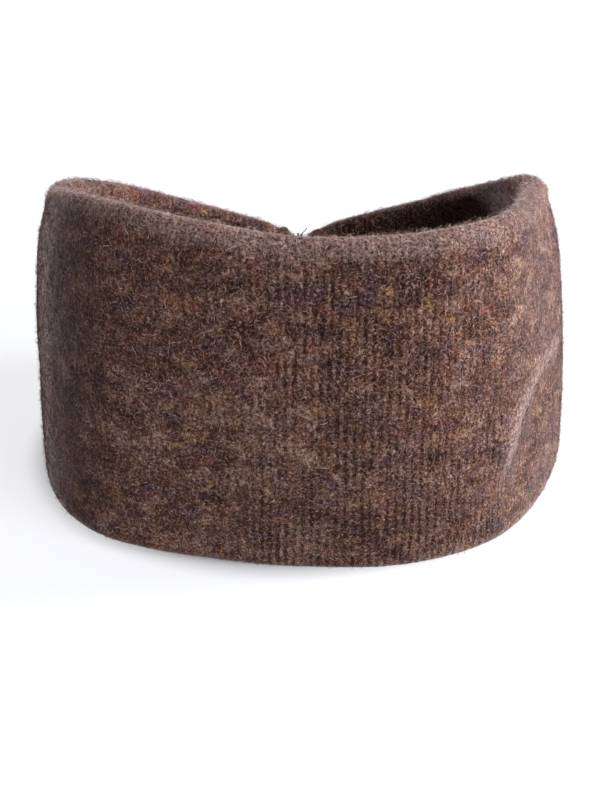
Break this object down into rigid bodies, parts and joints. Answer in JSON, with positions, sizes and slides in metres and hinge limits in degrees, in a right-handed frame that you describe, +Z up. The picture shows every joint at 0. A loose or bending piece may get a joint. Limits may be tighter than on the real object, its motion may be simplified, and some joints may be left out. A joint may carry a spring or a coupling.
{
  "type": "ear warmer headband",
  "caption": "Thick felted wool headband loop, tall over the brow and ears and low at the back, with a sewn back seam whose turned-in ends lie inside; worn round the head to warm the ears.",
  "frame": {"origin": "on the table, under the middle of the loop's outline from above", "axes": "+X across the ears, +Y from the brow to the back seam, +Z up from the foot edge to the rim"},
  "size_m": [0.1832, 0.1782, 0.1095],
  "materials": {
    "felted_wool": "fulled knit wool, marled brown, matt, with a short fuzzy nap",
    "turned_in_wool": "the same fulled wool, darker and denser where it is turned in and sewn"
  },
  "bodies": {
    "root": {"band": "felted_wool", "seam_end_left": "turned_in_wool", "seam_end_right": "turned_in_wool"}
  },
  "joints": []
}
